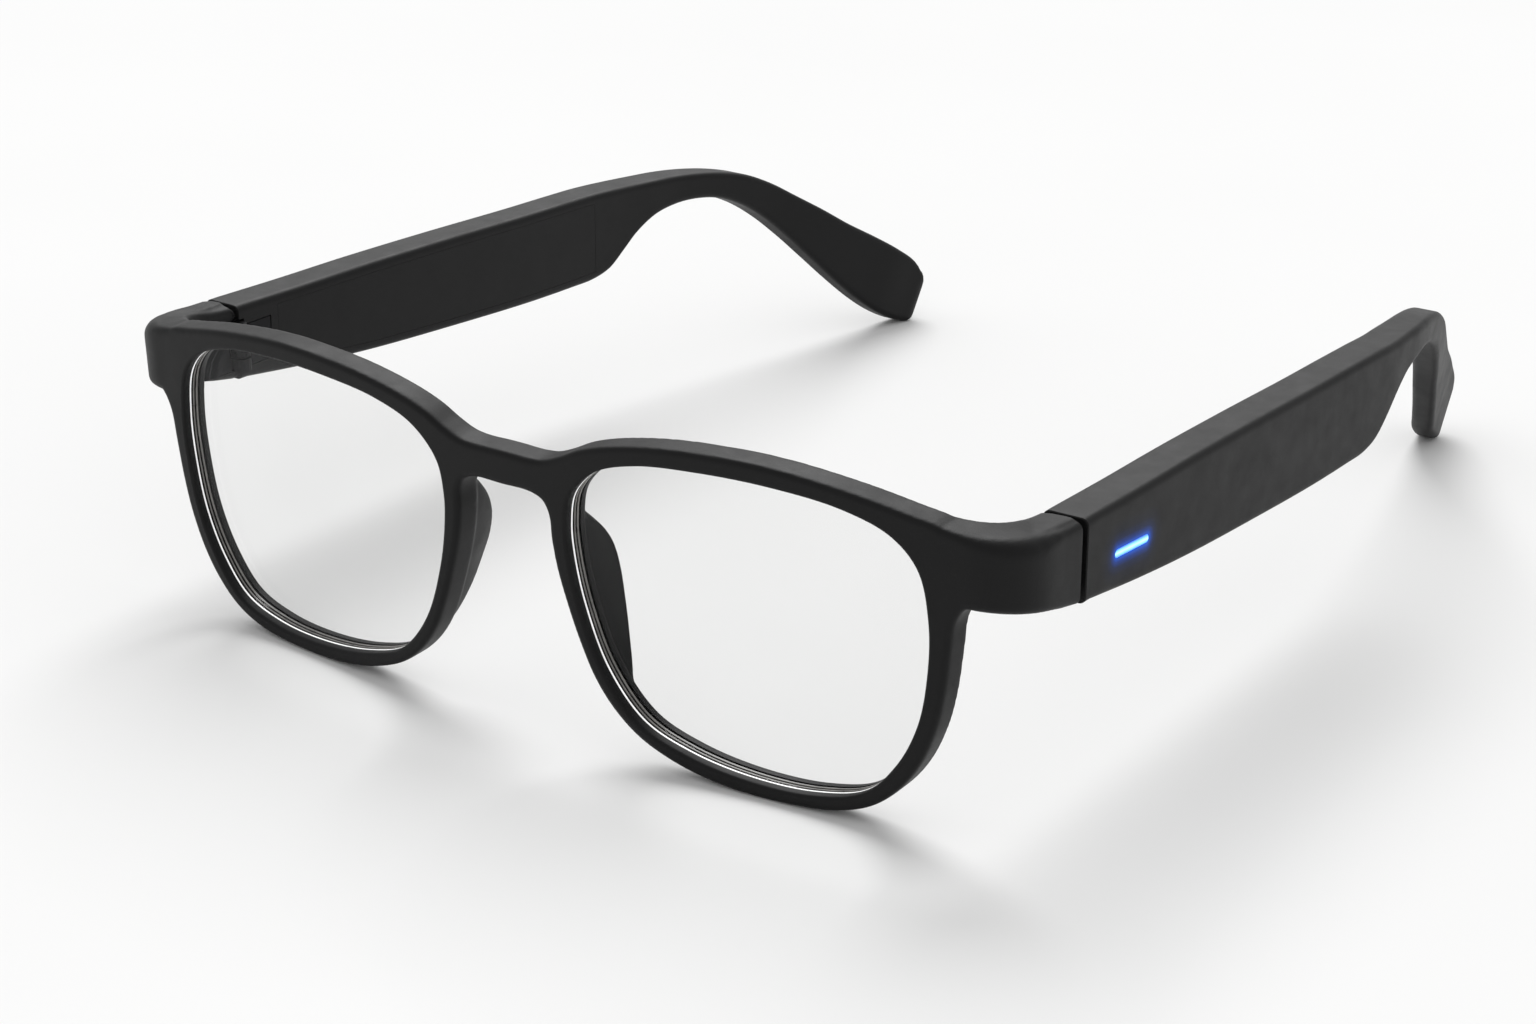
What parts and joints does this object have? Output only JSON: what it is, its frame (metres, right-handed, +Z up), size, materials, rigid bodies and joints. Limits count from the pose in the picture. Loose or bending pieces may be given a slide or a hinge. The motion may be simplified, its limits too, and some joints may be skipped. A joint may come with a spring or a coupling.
{
  "type": "smart glasses",
  "caption": "Black full-rim smart glasses with clear lenses, wide electronics temples that fold, an underside button and a blue status light bar.",
  "frame": {"origin": "under the middle of the bounding box, on the surface that the open glasses stand on", "axes": "+X to the wearer's left, -Y the way the wearer looks, +Z up"},
  "size_m": [0.1412, 0.1734, 0.0445],
  "materials": {
    "frame_plastic": "fine-grained satin matte black",
    "lens_clear": "clear, polished, with a coated surface",
    "hinge_steel": "satin",
    "circuit_board": "solder mask",
    "component_black": "moulded",
    "battery_foil": "satin foil",
    "contact_gold": "gold plated",
    "light_blue": "lit light guide",
    "cable_sheath": "matte"
  },
  "bodies": {
    "front": {"front_frame": "frame_plastic", "lens_left": "lens_clear", "lens_right": "lens_clear", "hinge_front_leaf_left": "hinge_steel", "hinge_front_leaf_right": "hinge_steel", "hinge_screw_left": "hinge_steel", "hinge_screw_right": "hinge_steel"},
    "temple_left": {"hinge_temple_leaf_left": "hinge_steel", "temple_housing_left": "frame_plastic", "temple_inner_cover_left": "frame_plastic", "circuit_board_left": "circuit_board", "processor_chip_left": "component_black", "battery_left": "battery_foil", "speaker_driver_left": "component_black", "speaker_grille_left": "hinge_steel", "speaker_cable_left": "cable_sheath", "microphone_left": "battery_foil", "tip_core_wire_left": "hinge_steel", "charging_contact_1_left": "contact_gold", "charging_contact_2_left": "contact_gold", "button_switch_left": "component_black", "light_bar_left": "light_blue", "status_led_left": "light_blue"},
    "temple_right": {"hinge_temple_leaf_right": "hinge_steel", "temple_housing_right": "frame_plastic", "temple_inner_cover_right": "frame_plastic", "circuit_board_right": "circuit_board", "processor_chip_right": "component_black", "battery_right": "battery_foil", "speaker_driver_right": "component_black", "speaker_grille_right": "hinge_steel", "speaker_cable_right": "cable_sheath", "microphone_right": "battery_foil", "tip_core_wire_right": "hinge_steel", "charging_contact_1_right": "contact_gold", "charging_contact_2_right": "contact_gold"},
    "button": {"power_button_left": "frame_plastic"}
  },
  "joints": [
    {"name": "fold_left", "type": "hinge", "parent": "front", "child": "temple_left", "pos_m": [0.0639, -0.06546, 0.0325], "axis": [0, 0, 1], "range_deg": [0, 90]},
    {"name": "fold_right", "type": "hinge", "parent": "front", "child": "temple_right", "pos_m": [-0.0639, -0.06546, 0.0325], "axis": [0, 0, -1], "range_deg": [0, 80]},
    {"name": "button_press", "type": "slide", "parent": "temple_left", "child": "button", "axis": [0, 0, 1], "range_m": [0, 0.0004], "stiffness_N_per_m": 500, "springref_m": -0.001}
  ]
}
